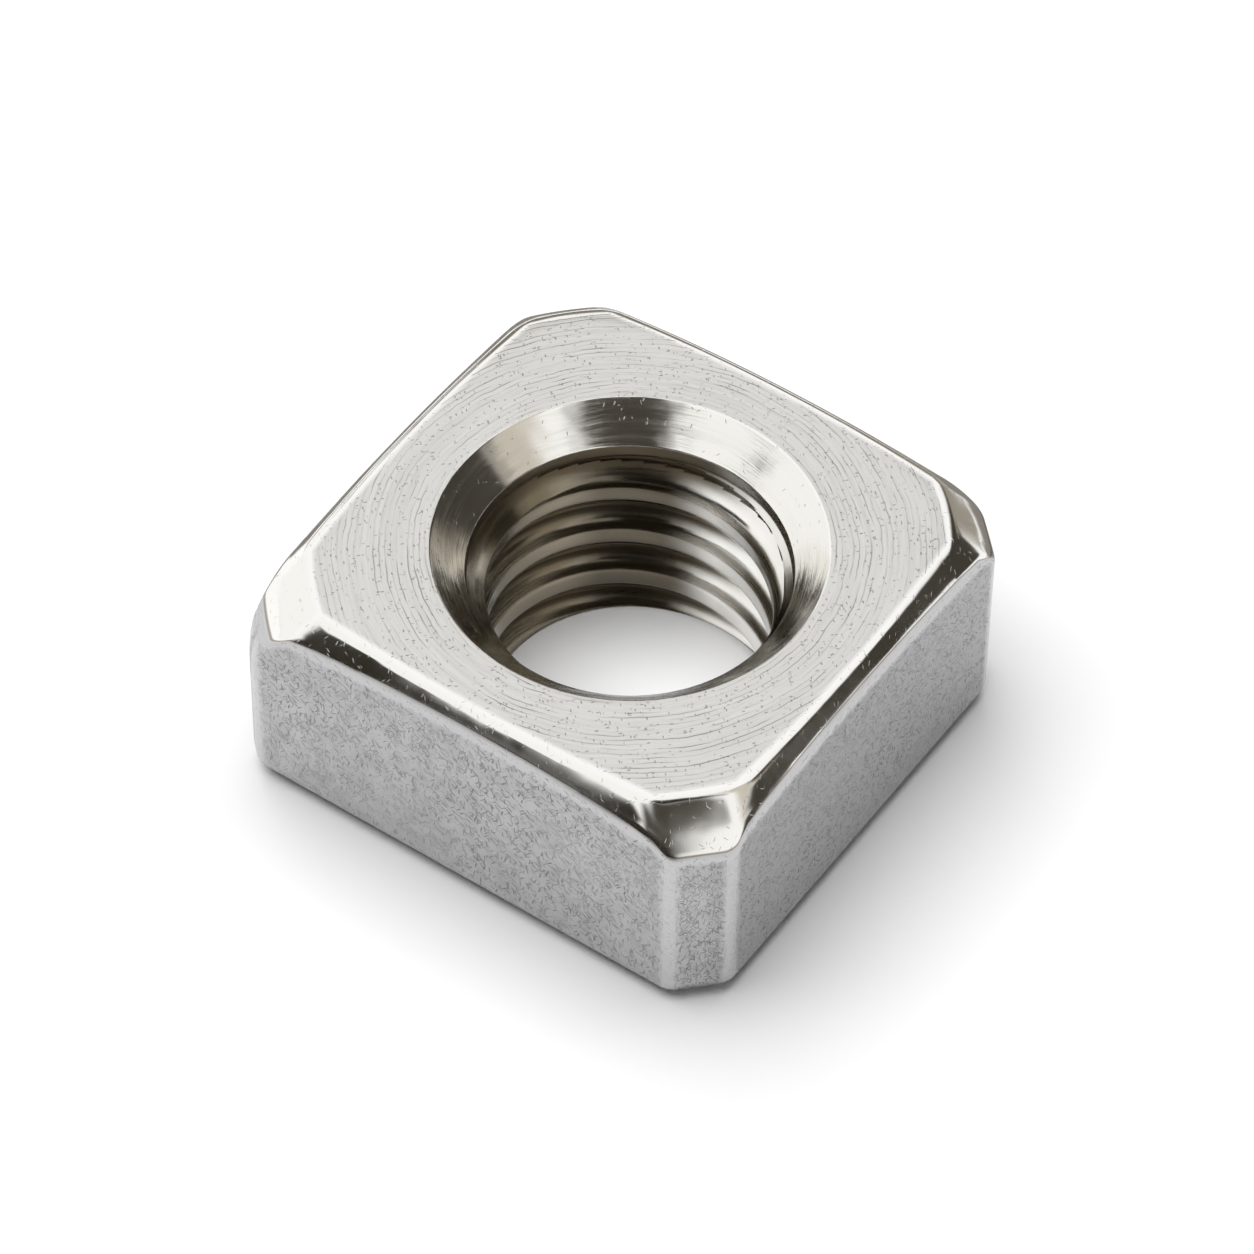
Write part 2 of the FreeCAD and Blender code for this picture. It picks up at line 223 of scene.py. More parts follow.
def faces(x, y, z):
    """The separate fields: top, turned chamfer, side bevels, body with its soft foot, and bore."""
    radius = np.hypot(x, y)
    top = z - height
    turned = eased_cone(radius - turned_radius, z, turned_slope, break_radius - turned_radius, TURNED_CROWN)
    bevels = [eased_cone(beyond_bevel(*place), z, bevel_slope, bevel_inset, BEVEL_CROWN)
              for place in ((x, y, "x"), (y, x, "y"))]
    out = outline_field(x, y) + foot_round
    down = foot_round - z
    body = np.where((out > 0) & (down > 0), np.hypot(out, down), np.maximum(out, down)) - foot_round
    body = soft_max(body, rolled_shoulder(radius, z), SHOULDER_CREASE)
    angle = np.arctan2(y, x)
    wall = thread_wall(angle, z)
    rise = (thread_wall(angle, z + WALL_STEP) - thread_wall(angle, z - WALL_STEP)) / (2 * WALL_STEP)
    bore = (wall - radius) / np.sqrt(1 + rise * rise)
    return top, turned, *bevels, body, bore


# %% The whole field and its slope
TOP_CREASE = 0.010
RIDGE_CREASE = 0.150
SIDE_CREASE = 0.160
RIM_CREASE = 0.022
SLOPE_STEP = 2e-4


def field(x, y, z):
    """The whole nut: zero on the surface, negative in the steel."""
    top, turned, bevel_x, bevel_y, body, bore = faces(x, y, z)
    cap = soft_max(soft_max(turned, bevel_x, RIDGE_CREASE), bevel_y, RIDGE_CREASE)
    cap = soft_max(cap, top, TOP_CREASE)
    return soft_max(soft_max(cap, body, SIDE_CREASE), bore, RIM_CREASE)


def slope_of(points):
    """Gradient of the field at an array of points."""
    out = np.empty_like(points)
    for axis in range(3):
        ahead, behind = points.copy(), points.copy()
        ahead[:, axis] += SLOPE_STEP
        behind[:, axis] -= SLOPE_STEP
        out[:, axis] = (field(*ahead.T) - field(*behind.T)) / (2 * SLOPE_STEP)
    return out


# %% [markdown]
# ## A net that follows the creases
#
# The skin is one closed net, a torus of columns and rings. Columns go round the nut and rings
# run from the bearing face, up the sides, over the bevels, across the top and down the bore.
# Columns are packed closer at the corners, and each corner ridge has a column of its own, so
# that no crease cuts across a face. In the thread the rings climb with the helix, so every
# crest and root has a ring along it.

# %% Where the ridges run
HALVINGS = 60


def reach_to_bevel(angle, across):
    """Radius at which a ray from the axis meets the start of a side bevel."""
    shift = bevel_axis[across]
    along = np.cos(angle) if across == "x" else np.sin(angle)
    inner = bevel_sweep ** 2 - (shift ** 2) * (1 - along ** 2)
    return shift * along + np.sqrt(np.clip(inner, 0, None))


def solve(test, low, high):
    """The place between low and high where a rising test crosses zero."""
    for _ in range(HALVINGS):
        middle = (low + high) / 2
        if test(middle) < 0:
            low = middle
        else:
            high = middle
    return (low + high) / 2


def depth_on_side(angle, across):
    """Turned chamfer's depth minus side bevel's depth, on the flat side at an angle."""
    near = half_x if across == "x" else half_y
    far = near * math.tan(angle) if across == "x" else near / math.tan(angle)
    turned = math.hypot(near, far) - turned_radius
    return float(drop_of(turned, turned_slope) - drop_of(beyond_bevel(near, far, across), bevel_slope))


ridge_top = (
    solve(lambda a: float(reach_to_bevel(a, "x")) - turned_radius, 0.2, 0.75),
    solve(lambda a: turned_radius - float(reach_to_bevel(a, "y")), 0.8, 1.4),
)
ridge_foot = (
    solve(lambda a: depth_on_side(a, "x"), 0.3, 0.70),
    solve(lambda a: -depth_on_side(a, "y"), 0.86, 1.3),
)
print("ridges start at", [round(math.degrees(a), 2) for a in ridge_top],
      "and end at", [round(math.degrees(a), 2) for a in ridge_foot], "degrees")


# %% Columns round the nut
CROWDING = 0.8
SIDE_COLUMNS, CORNER_COLUMNS = 34, 44


def crowded(count):
    """Steps from 0 to 1 that crowd towards the end."""
    t = np.linspace(0, 1, count + 1)
    return t + CROWDING * np.sin(math.pi * t) / math.pi


def crowded_both(count):
    """Steps from 0 to 1 that crowd towards both ends."""
    t = np.linspace(0, 1, count + 1)
    return t - CROWDING * np.sin(2 * math.pi * t) / (2 * math.pi)


top_marks = [0.0, *ridge_top, math.pi / 2]
foot_marks = [0.0, *ridge_foot, math.pi / 2]
spans = [crowded(SIDE_COLUMNS), crowded_both(CORNER_COLUMNS), 1 - crowded(SIDE_COLUMNS)[::-1]]
quarter_top, quarter_foot = [], []
for i, steps in enumerate(spans):
    quarter_top += list(top_marks[i] + (top_marks[i + 1] - top_marks[i]) * steps[:-1])
    quarter_foot += list(foot_marks[i] + (foot_marks[i + 1] - foot_marks[i]) * steps[:-1])
quarter_top = np.array(quarter_top)
quarter_foot = np.array(quarter_foot)


def all_round(quarter):
    """Mirror a quarter's angles into the other three."""
    half = np.concatenate([quarter, [math.pi / 2], (math.pi - quarter[1:])[::-1]])
    return np.concatenate([half, half + math.pi])


angle_top = all_round(quarter_top)
angle_foot = all_round(quarter_foot)
columns = len(angle_top)
print("columns", columns)


# %% How far the rings reach at each angle
def outline_reach(angle):
    """Radius of the square outline with cropped corners."""
    c, s = np.abs(np.cos(angle)), np.abs(np.sin(angle))
    return np.minimum(np.minimum(half_x / np.maximum(c, 1e-9), half_y / np.maximum(s, 1e-9)),
                      (crop_reach - crop_drift * np.sign(np.cos(angle))) / (c + s))


in_quarter = np.arctan2(np.abs(np.sin(angle_top)), np.abs(np.cos(angle_top)))
top_reach = np.minimum(turned_radius, np.minimum(
    reach_to_bevel(in_quarter, "x"), reach_to_bevel(in_quarter, "y")))
side_reach = outline_reach(angle_foot)
EASING_START = -0.04
print("top outline in mm", round(float(top_reach.min()), 3), "to", round(float(top_reach.max()), 3))


def cap_height(x, y):
    """Height of the chamfered top at each point of the plan."""
    turned = np.hypot(x, y) - turned_radius
    deepest = drop_of(np.maximum(turned, EASING_START), turned_slope)
    for place in ((x, y, "x"), (y, x, "y")):
        beyond = np.maximum(beyond_bevel(*place), EASING_START)
        deepest = np.maximum(deepest, drop_of(beyond, bevel_slope))
    return height - deepest


# %% Rings outside the bore
# Each list holds shares of the way along one stretch, closer together where a crease comes.
FOOT_SHARES = (0.0, 0.012, 0.03, 0.08, 0.2, 0.4, 0.6, 0.8, 0.94)
FOOT_ROUND_RINGS = 10
SIDE_SHARES = (0.15, 0.32, 0.5, 0.62, 0.71, 0.78, 0.84, 0.885, 0.92, 0.945, 0.965, 0.98, 0.992)
CHAMFER_SHARES = (1.0, 0.985, 0.96, 0.92, 0.85, 0.76, 0.66, 0.56, 0.48, 0.42, 0.36, 0.30, 0.24,
                  0.18, 0.12, 0.06, 0.02)
TOP_SHARES = (1.0, 0.992, 0.97, 0.93, 0.86, 0.74, 0.6, 0.46, 0.32, 0.2, 0.1, 0.04, 0.016, 0.006)
rings = []


def add_ring(angle, radius, z):
    """One closed ring of points, one for each column."""
    rings.append(np.stack([radius * np.cos(angle), radius * np.sin(angle),
                           np.broadcast_to(z, angle.shape)], axis=1))


foot_rim = thread_wall(angle_top, 0.0)
for t in FOOT_SHARES:
    add_ring(angle_top + (angle_foot - angle_top) * t,
             foot_rim + (side_reach - foot_round - foot_rim) * t, 0.0)
for turn in np.linspace(0, math.pi / 2, FOOT_ROUND_RINGS):
    add_ring(angle_foot, side_reach - foot_round * (1 - math.sin(turn)),
             foot_round * (1 - math.cos(turn)))
cap_reach = np.minimum(side_reach, break_radius)
lower_edge = cap_height(cap_reach * np.cos(angle_foot), cap_reach * np.sin(angle_foot))
for t in SIDE_SHARES:
    z = foot_round + (lower_edge - foot_round) * t
    add_ring(angle_foot, np.minimum(side_reach, shoulder_reach(z)), z)
upper = np.stack([top_reach * np.cos(angle_top), top_reach * np.sin(angle_top)], axis=1)
lower = np.stack([cap_reach * np.cos(angle_foot), cap_reach * np.sin(angle_foot)], axis=1)
for t in CHAMFER_SHARES:
    plan = upper + (lower - upper) * t
    rings.append(np.column_stack([plan, cap_height(*plan.T)]))
for t in TOP_SHARES:
    add_ring(angle_top, sink_rim + (top_reach - sink_rim) * t, height)
print("rings outside the bore", len(rings))


# %% Rings down the countersink, the plain wall and the lead into the thread
SINK_SHARES = (0.0, 0.01, 0.025, 0.06, 0.15, 0.3, 0.45, 0.6, 0.75, 0.88, 0.95, 0.98)
WALL_SHARES = (0.0, 0.04, 0.12, 0.3, 0.5, 0.7, 0.88, 0.96)
LEAD_SHARES = np.linspace(0, 1, 15)
FOOT_SINK_SHARES = (0.0, 0.2, 0.4, 0.6, 0.8, 0.93)


def add_wall_rings(start, end, shares):
    """Rings on the wall of the bore, between two heights."""
    for t in shares:
        z = start + (end - start) * t
        add_ring(angle_top, thread_wall(angle_top, z), z)


add_wall_rings(height, sink_end, SINK_SHARES)
add_wall_rings(sink_end, wall_end, WALL_SHARES)
add_wall_rings(wall_end, lead_start, LEAD_SHARES)
last_upper = len(rings) - 1
first_lower = len(rings)
add_wall_rings(foot_sink, 0.0, FOOT_SINK_SHARES)
print("rings in all", len(rings))

# %% Faces between the plain rings
points = list(np.concatenate(rings))
net = []


def ring_point(ring, column):
    """Index of a point of a plain ring. After the last ring comes the first one again."""
    return ring % len(rings) * columns + column % columns


for ring in range(len(rings)):
    if ring == last_upper:
        continue
    for column in range(columns):
        net.append((ring_point(ring, column), ring_point(ring, column + 1),
                    ring_point(ring + 1, column + 1), ring_point(ring + 1, column)))
print("faces between plain rings", len(net))

# %% [markdown]
# ## The helix
#
# The thread's own rings climb one pitch in each turn. They start below the bore and end above
# it, and every point outside the threaded length is pinned to the plain ring at that end, so
# the helix runs out cleanly and the net stays closed.

# %% Faces of the thread
# Rows lie at these distances in mm from the middle of the groove, on both sides of it.
HALF_STEPS = (0.0, 0.045, 0.08, 0.11, 0.155, 0.199, 0.235, 0.275, 0.32, 0.37, 0.43, 0.50, 0.56, 0.635)
THREAD_TURNS = 6
PIN_REACH = 0.004
steps = [-s for s in HALF_STEPS[:0:-1]] + list(HALF_STEPS[:-1])
rows_per_turn = len(steps)
helix_points = {}


def helix_point(row, column):
    """Index of a point of the helix, pinned to the plain rings beyond the threaded length."""
    if column == columns:
        row, column = row + rows_per_turn, 0
    turn, step = divmod(row, rows_per_turn)
    z = thread_start + pitch * (turn + angle_top[column] / (2 * math.pi)) + steps[step]
    if z >= lead_start - PIN_REACH:
        return ring_point(last_upper, column)
    if z <= foot_sink + PIN_REACH:
        return ring_point(first_lower, column)
    key = (row, column)
    if key not in helix_points:
        radius = float(thread_wall(angle_top[column], np.array(z)))
        helix_points[key] = len(points)
        points.append((radius * math.cos(angle_top[column]), radius * math.sin(angle_top[column]), z))
    return helix_points[key]


for row in range(-rows_per_turn, THREAD_TURNS * rows_per_turn):
    for column in range(columns):
        corners = [helix_point(row + 1, column), helix_point(row + 1, column + 1),
                   helix_point(row, column + 1), helix_point(row, column)]
        kept = [c for i, c in enumerate(corners) if c not in corners[:i]]
        if len(kept) >= 3:
            net.append(tuple(kept))
points = np.array(points)
print("points", len(points), "faces", len(net))

# %% Draw the points onto the surface and take their normals
DRAWS = 4
LEAST_SLOPE = 0.2
LONGEST_DRAW = 0.05
for _ in range(DRAWS):
    slope = slope_of(points)
    away = field(*points.T) / np.maximum((slope ** 2).sum(axis=1), LEAST_SLOPE)
    points -= slope * np.clip(away, -LONGEST_DRAW, LONGEST_DRAW)[:, None]
normals = slope_of(points)
normals /= np.linalg.norm(normals, axis=1)[:, None]
print("largest miss in mm", float(np.abs(field(*points.T)).max()))
print("box in mm", points.min(axis=0).round(4), points.max(axis=0).round(4))

# %% [markdown]
# ## Which finish goes where
#
# Each face of the net takes the finish of the part of the nut that it lies on. Each point keeps
# four measures for the finishes to use: how near it is to a crease, how far it lies above the
# shoulder, how near it is to an upright edge, and how deep it lies in the thread's groove. The
# edges where two finishes meet could be painted, but then they would blur. Here they follow
# the net, so each finish ends exactly on its crease.

# %% Build the mesh
mesh = bpy.data.meshes.new("square_nut")
mesh.from_pydata((points * MM).tolist(), [], net)
mesh.validate()
mesh.update()
nut = bpy.data.objects.new("square_nut", mesh)
bpy.context.scene.collection.objects.link(nut)
print("mesh", mesh.name, "with", len(mesh.polygons), "faces")

# %% Measures for the finishes
TOP, BODY, BORE = 0, 4, 5
parts = np.stack(faces(*points.T), axis=1)
ordered = np.sort(parts, axis=1)
crease = ordered[:, -1] - ordered[:, -2]
shoulder = parts[:, TOP + 1:BODY].max(axis=1) - parts[:, BODY]
sides, crops = sides_and_crops(points[:, 0], points[:, 1])
in_bore = (parts.argmax(axis=1) == BORE) & (points[:, 2] < sink_end)
groove = (np.hypot(points[:, 0], points[:, 1]) - crest_radius) / thread_depth
measures = {"crease_distance": crease, "above_shoulder": shoulder, "upright_edge": np.abs(sides - crops),
            "groove_depth": np.clip(np.where(in_bore, groove, 0.0), 0, 1)}
for name, values in measures.items():
    attribute = mesh.attributes.new(name, "FLOAT", "POINT")
    attribute.data.foreach_set("value", values.astype(np.float32))
    print(name, "from", round(float(values.min()), 3), "to", round(float(values.max()), 3))

# %% Share the faces out among the finishes
FINISHES = ["turned_top", "polished_bevel", "tumbled_side", "cut_countersink", "cut_thread"]
SINK_MARGIN = 0.01
centres = np.array([points[list(polygon.vertices)].mean(axis=0) for polygon in mesh.polygons])
owner = np.argmax(np.stack(faces(*centres.T), axis=1), axis=1)
finish_of = np.select(
    [owner == TOP, owner < BODY, owner == BODY, centres[:, 2] > sink_end - SINK_MARGIN],
    [0, 1, 2, 3], default=4)
for polygon, finish in zip(mesh.polygons, finish_of):
    polygon.material_index = int(finish)
    polygon.use_smooth = True
mesh.normals_split_custom_set_from_vertices(normals.tolist())
print("faces by finish", {name: int((finish_of == i).sum()) for i, name in enumerate(FINISHES)})
print("triangles", sum(len(p.vertices) - 2 for p in mesh.polygons))

# %% [markdown]
# ## Marks that the finishes share
#
# Turning, tumbling and handling leave scratches. They could be painted into an image, but a
# procedural mask stays sharp at any distance. Three node groups make them: rings left by a
# cutting tool, short random scratches, and wear along creases. Each gives plain values that the
# materials feed to colour, roughness and bump.

# %% Helpers for node groups
def new_group(name, inputs, outputs):
    """A shader node group with named float or vector sockets."""
    group = bpy.data.node_groups.new(name, "ShaderNodeTree")
    for label, kind, value in inputs:
        socket = group.interface.new_socket(label, in_out="INPUT", socket_type=kind)
        if value is not None:
            socket.default_value = value
    for label, kind in outputs:
        group.interface.new_socket(label, in_out="OUTPUT", socket_type=kind)
    return group, group.nodes.new("NodeGroupInput"), group.nodes.new("NodeGroupOutput")


def feed(tree, socket, value):
    """Set an input to a number or link another socket to it."""
    if isinstance(value, (int, float)):
        socket.default_value = value
    else:
        tree.links.new(value, socket)


def maths(tree, operation, a, b=None):
    """A maths node. Inputs are sockets or numbers."""
    node = tree.nodes.new("ShaderNodeMath")
    node.operation = operation
    feed(tree, node.inputs[0], a)
    if b is not None:
        feed(tree, node.inputs[1], b)
    return node.outputs[0]


def add(tree, a, b):
    return maths(tree, "ADD", a, b)


def subtract(tree, a, b):
    return maths(tree, "SUBTRACT", a, b)


def multiply(tree, a, b):
    return maths(tree, "MULTIPLY", a, b)


def divide(tree, a, b):
    return maths(tree, "DIVIDE", a, b)


def size_of(tree, a):
    return maths(tree, "ABSOLUTE", a)


def remap(tree, value, low, high, to_low=0.0, to_high=1.0):
    """Stretch a value from one range to another, held at the ends."""
    node = tree.nodes.new("ShaderNodeMapRange")
    node.interpolation_type = "SMOOTHSTEP"
    tree.links.new(value, node.inputs["Value"])
    node.inputs["From Min"].default_value = low
    node.inputs["From Max"].default_value = high
    node.inputs["To Min"].default_value = to_low
    node.inputs["To Max"].default_value = to_high
    return node.outputs["Result"]


def noise(tree, vector, scale, detail, roughness):
    """Noise over a vector. At a scale of 1000 its features are about a millimetre wide."""
    node = tree.nodes.new("ShaderNodeTexNoise")
    tree.links.new(vector, node.inputs["Vector"])
    node.inputs["Scale"].default_value = scale
    node.inputs["Detail"].default_value = detail
    node.inputs["Roughness"].default_value = roughness
    return node.outputs["Fac"]


def combine(tree, x, y, z):
    """A vector from three sockets or numbers."""
    node = tree.nodes.new("ShaderNodeCombineXYZ")
    for socket, value in zip(node.inputs, (x, y, z)):
        feed(tree, socket, value)
    return node.outputs[0]


def split_up(tree, vector):
    """The three parts of a vector."""
    node = tree.nodes.new("ShaderNodeSeparateXYZ")
    tree.links.new(vector, node.inputs[0])
    return node.outputs[0], node.outputs[1], node.outputs[2]


def distance_from_axis(tree, x, y):
    """How far a place lies from the thread axis."""
    return maths(tree, "SQRT", add(tree, multiply(tree, x, x), multiply(tree, y, y)))


# %% Node group: rings left by a cutting tool
# Each ring is a lane of its own, and its line shows over parts of the turn only.
RING_WANDER = 0.22
LANE_SHIFT = 5.3
rings_group, group_in, group_out = new_group(
    "cutting_rings",
    [("Vector", "NodeSocketVector", None), ("Rings per mm", "NodeSocketFloat", 9.0),
     ("Break Up", "NodeSocketFloat", 1.0)],
    [("Fine", "NodeSocketFloat"), ("Lines", "NodeSocketFloat")])
tree = rings_group
vector, break_up = group_in.outputs["Vector"], group_in.outputs["Break Up"]
x, y, z = split_up(tree, vector)
radius = distance_from_axis(tree, x, y)
place = multiply(tree, add(tree, radius, z), 1 / MM)
place = add(tree, place, multiply(tree, noise(tree, vector, 700.0, 3.0, 0.6), RING_WANDER))
place = multiply(tree, place, group_in.outputs["Rings per mm"])
round_x = multiply(tree, divide(tree, x, radius), break_up)
round_y = multiply(tree, divide(tree, y, radius), break_up)
fine = noise(tree, combine(tree, place, round_x, round_y), 1.0, 4.0, 0.7)
lane = maths(tree, "FLOOR", place)
off_line = size_of(tree, subtract(tree, subtract(tree, place, lane), 0.5))
line = remap(tree, off_line, 0.02, 0.16, 1.0, 0.0)
along = combine(tree, multiply(tree, lane, LANE_SHIFT), multiply(tree, round_x, 2.6),
                multiply(tree, round_y, 1.6))
shown = remap(tree, noise(tree, along, 1.0, 3.0, 0.7), 0.38, 0.66)
tree.links.new(fine, group_out.inputs["Fine"])
tree.links.new(multiply(tree, line, shown), group_out.inputs["Lines"])
print("group", rings_group.name)

# %% Node group: short random scratches
# A Voronoi cell squeezed in one direction is a pancake, and a face cuts it as a short thin
# scratch. Five layers are squeezed in five directions, so scratches cross on every face.
THIN_WAYS = ((0.7, 0.7, 0.1), (0.6, -0.5, 0.6), (0.5, 0.6, -0.6), (0.75, -0.65, -0.15), (0.4, 0.35, 0.85))
LAYER_SHIFT = (0.01, 0.013, 0.007)
FAINTEST = 0.35
scratch_group, group_in, group_out = new_group(
    "random_scratches",
    [("Vector", "NodeSocketVector", None), ("Scale", "NodeSocketFloat", 18000.0),
     ("Length", "NodeSocketFloat", 7.0), ("Width", "NodeSocketFloat", 0.2),
     ("Amount", "NodeSocketFloat", 0.7)],
    [("Mask", "NodeSocketFloat"), ("Height", "NodeSocketFloat")])
tree = scratch_group
length, width = group_in.outputs["Length"], group_in.outputs["Width"]
stretch = combine(tree, 1.0, length, length)
total = None
for thin_way in THIN_WAYS:
    thin = Vector(thin_way).normalized()
    broad = thin.orthogonal().normalized()
    turned = Matrix((thin, broad, thin.cross(broad))).transposed()
    mapping = tree.nodes.new("ShaderNodeMapping")
    mapping.vector_type = "TEXTURE"
    mapping.inputs["Rotation"].default_value = turned.to_euler()
    mapping.inputs["Location"].default_value = [w * shift for w, shift in zip(thin_way, LAYER_SHIFT)]
    tree.links.new(group_in.outputs["Vector"], mapping.inputs["Vector"])
    tree.links.new(stretch, mapping.inputs["Scale"])
    cells = tree.nodes.new("ShaderNodeTexVoronoi")
    tree.links.new(mapping.outputs[0], cells.inputs["Vector"])
    tree.links.new(group_in.outputs["Scale"], cells.inputs["Scale"])
    pick = tree.nodes.new("ShaderNodeSeparateColor")
    tree.links.new(cells.outputs["Color"], pick.inputs[0])
    mark = subtract(tree, 1.0, divide(tree, cells.outputs["Distance"], width))
    mark = maths(tree, "MINIMUM", multiply(tree, maths(tree, "MAXIMUM", mark, 0.0), 2.5), 1.0)
    least = subtract(tree, 1.0, group_in.outputs["Amount"])
    present = maths(tree, "GREATER_THAN", pick.outputs[0], least)
    depth = add(tree, FAINTEST, multiply(tree, pick.outputs[1], 1 - FAINTEST))
    mark = multiply(tree, multiply(tree, mark, present), depth)
    total = mark if total is None else maths(tree, "MAXIMUM", total, mark)
tree.links.new(total, group_out.inputs["Mask"])
tree.links.new(multiply(tree, total, -1.0), group_out.inputs["Height"])
print("group", scratch_group.name)

# %% Node group: wear along creases
wear_group, group_in, group_out = new_group(
    "crease_wear",
    [("Vector", "NodeSocketVector", None), ("Distance", "NodeSocketFloat", 1.0),
     ("Reach", "NodeSocketFloat", 0.12), ("Unevenness", "NodeSocketFloat", 0.5)],
    [("Mask", "NodeSocketFloat")])
tree = wear_group
ragged = noise(tree, group_in.outputs["Vector"], 1400.0, 4.0, 0.6)
swing = multiply(tree, subtract(tree, ragged, 0.5), group_in.outputs["Unevenness"])
reach = multiply(tree, group_in.outputs["Reach"], add(tree, 1.0, multiply(tree, swing, 2.0)))
reach = maths(tree, "MAXIMUM", reach, 0.001)
worn = subtract(tree, 1.0, divide(tree, group_in.outputs["Distance"], reach))
tree.links.new(maths(tree, "MAXIMUM", worn, 0.0), group_out.inputs["Mask"])
print("group", wear_group.name)

# %% [markdown]
# ## The finishes
#
# All of them are the same warm grey plate, and all are plain metal. Plate has no body colour of
# its own: it shows the room. The polished bevels, the countersink and the thread are bright and
# smooth. The turned top and the tumbled sides carry fine marks that scatter the light, so they
# are rougher and their grey is darker. Each finish lists its colours first.

# %% Helpers for the materials
def measure(tree, name):
    """One of the measures kept on the net's points."""
    node = tree.nodes.new("ShaderNodeAttribute")
    node.attribute_name = name
    return node.outputs["Fac"]


def new_finish(name):
    """A metal material, with its node tree and its object coordinates."""
    material = bpy.data.materials.new(name)
    material.use_nodes = True
    tree = material.node_tree
    tree.nodes["Principled BSDF"].inputs["Metallic"].default_value = 1.0
    return material, tree, tree.nodes.new("ShaderNodeTexCoord").outputs["Object"]


def place_group(tree, group, vector, **values):
    """Put a node group into a material and set its named inputs."""
    node = tree.nodes.new("ShaderNodeGroup")
    node.node_tree = group
    tree.links.new(vector, node.inputs["Vector"])
    for label, value in values.items():
        feed(tree, node.inputs[label.replace("_", " ")], value)
    return node


def worn_crease(tree, vector, reach, unevenness):
    """How worn each place is, from 1 on a crease to 0 at some reach from it."""
    gap = measure(tree, "crease_distance")
    wear = place_group(tree, wear_group, vector, Distance=gap, Reach=reach, Unevenness=unevenness)
    return wear.outputs["Mask"]


def blend_colour(tree, factor, first, second):
    """Mix two colours by a factor. Colours are tuples or sockets."""
    node = tree.nodes.new("ShaderNodeMix")
    node.data_type = "RGBA"
    feed(tree, node.inputs["Factor"], factor)
    for label, value in (("A", first), ("B", second)):
        socket = [s for s in node.inputs if s.name == label and s.type == "RGBA"][0]
        if isinstance(value, tuple):
            socket.default_value = (*value, 1)
        else:
            tree.links.new(value, socket)
    return [s for s in node.outputs if s.type == "RGBA"][0]


def dress(material, colour, rough, heights):
    """Link colour, roughness and a chain of bumps: height socket, distance in metres, strength."""
    tree = material.node_tree
    shader = tree.nodes["Principled BSDF"]
    tree.links.new(colour, shader.inputs["Base Color"])
    tree.links.new(rough, shader.inputs["Roughness"])
    normal = None
    for socket, distance, strength in heights:
        bump = tree.nodes.new("ShaderNodeBump")
        bump.inputs["Distance"].default_value = distance
        bump.inputs["Strength"].default_value = strength
        tree.links.new(socket, bump.inputs["Height"])
        if normal is not None:
            tree.links.new(normal, bump.inputs["Normal"])
        normal = bump.outputs["Normal"]
    tree.links.new(normal, shader.inputs["Normal"])
    print("finish", material.name, "has", len(tree.nodes), "nodes")


# %% Turned top face
TURNED_DARK, TURNED_LIGHT = (0.67, 0.66, 0.635), (0.81, 0.80, 0.77)
TURNED_LINE = (0.30, 0.29, 0.265)
TURNED_RIM = (0.93, 0.92, 0.89)
turned_top, tree, spot = new_finish("turned_top")
marks = place_group(tree, rings_group, spot, Rings_per_mm=9.0, Break_Up=1.3)
fine, lines = marks.outputs["Fine"], marks.outputs["Lines"]
nicks = place_group(tree, scratch_group, spot, Scale=15000.0, Length=3.5, Width=0.18, Amount=0.5)
rim = worn_crease(tree, spot, 0.012, 0.5)
cloud = noise(tree, spot, 600.0, 3.0, 0.5)
colour = blend_colour(tree, remap(tree, fine, 0.3, 0.7), TURNED_DARK, TURNED_LIGHT)
streak = multiply(tree, lines, remap(tree, cloud, 0.35, 0.60, 0.35, 0.9))
colour = blend_colour(tree, streak, colour, TURNED_LINE)
colour = blend_colour(tree, multiply(tree, nicks.outputs["Mask"], 0.8), colour, TURNED_LINE)
colour = blend_colour(tree, rim, colour, TURNED_RIM)
rough = subtract(tree, remap(tree, fine, 0.3, 0.7, 0.28, 0.42), multiply(tree, rim, 0.15))
cuts = subtract(tree, fine, multiply(tree, lines, 0.5))
dress(turned_top, colour, rough, [(cuts, 0.000012, 0.5), (nicks.outputs["Height"], 0.000008, 0.6)])

# %% Polished bevels
# Polish stops a little above the shoulder: below is a dull border, and a brown line of painted shade divides
# them.
BEVEL_BRIGHT, BEVEL_EDGE = (0.91, 0.90, 0.86), (0.95, 0.94, 0.92)
BEVEL_PIT = (0.42, 0.41, 0.38)
BEVEL_DULL = (0.58, 0.575, 0.575)
BEVEL_SHADE_LINE = (0.20, 0.14, 0.09)
DULL_REACH = 0.080
CORNER_DULL_REACH = 0.026
CORNER_FROM, CORNER_TO = 0.0086, 0.0100
polished_bevel, tree, spot = new_finish("polished_bevel")
waves = noise(tree, spot, 750.0, 2.0, 0.5)
pits = place_group(tree, scratch_group, spot, Scale=21000.0, Length=8.0, Width=0.17, Amount=0.35)
colour = blend_colour(tree, worn_crease(tree, spot, 0.04, 0.8), BEVEL_BRIGHT, BEVEL_EDGE)
colour = blend_colour(tree, multiply(tree, pits.outputs["Mask"], 0.45), colour, BEVEL_PIT)
x, y, _ = split_up(tree, spot)
cornerwise = add(tree, size_of(tree, x), size_of(tree, y))
reach = remap(tree, cornerwise, CORNER_FROM, CORNER_TO, DULL_REACH, CORNER_DULL_REACH)
above = subtract(tree, measure(tree, "above_shoulder"), reach)
dull = remap(tree, above, -0.006, 0.006, 1.0, 0.0)
colour = blend_colour(tree, dull, colour, BEVEL_DULL)
# Painted shade: a brown line along the edge of the polish.
shade_line = remap(tree, size_of(tree, above), 0.004, 0.014, 0.7, 0.0)
colour = blend_colour(tree, shade_line, colour, BEVEL_SHADE_LINE)
rough = remap(tree, waves, 0.35, 0.65, 0.09, 0.17)
rough = add(tree, rough, multiply(tree, pits.outputs["Mask"], 0.2))
rough = add(tree, rough, multiply(tree, dull, 0.16))
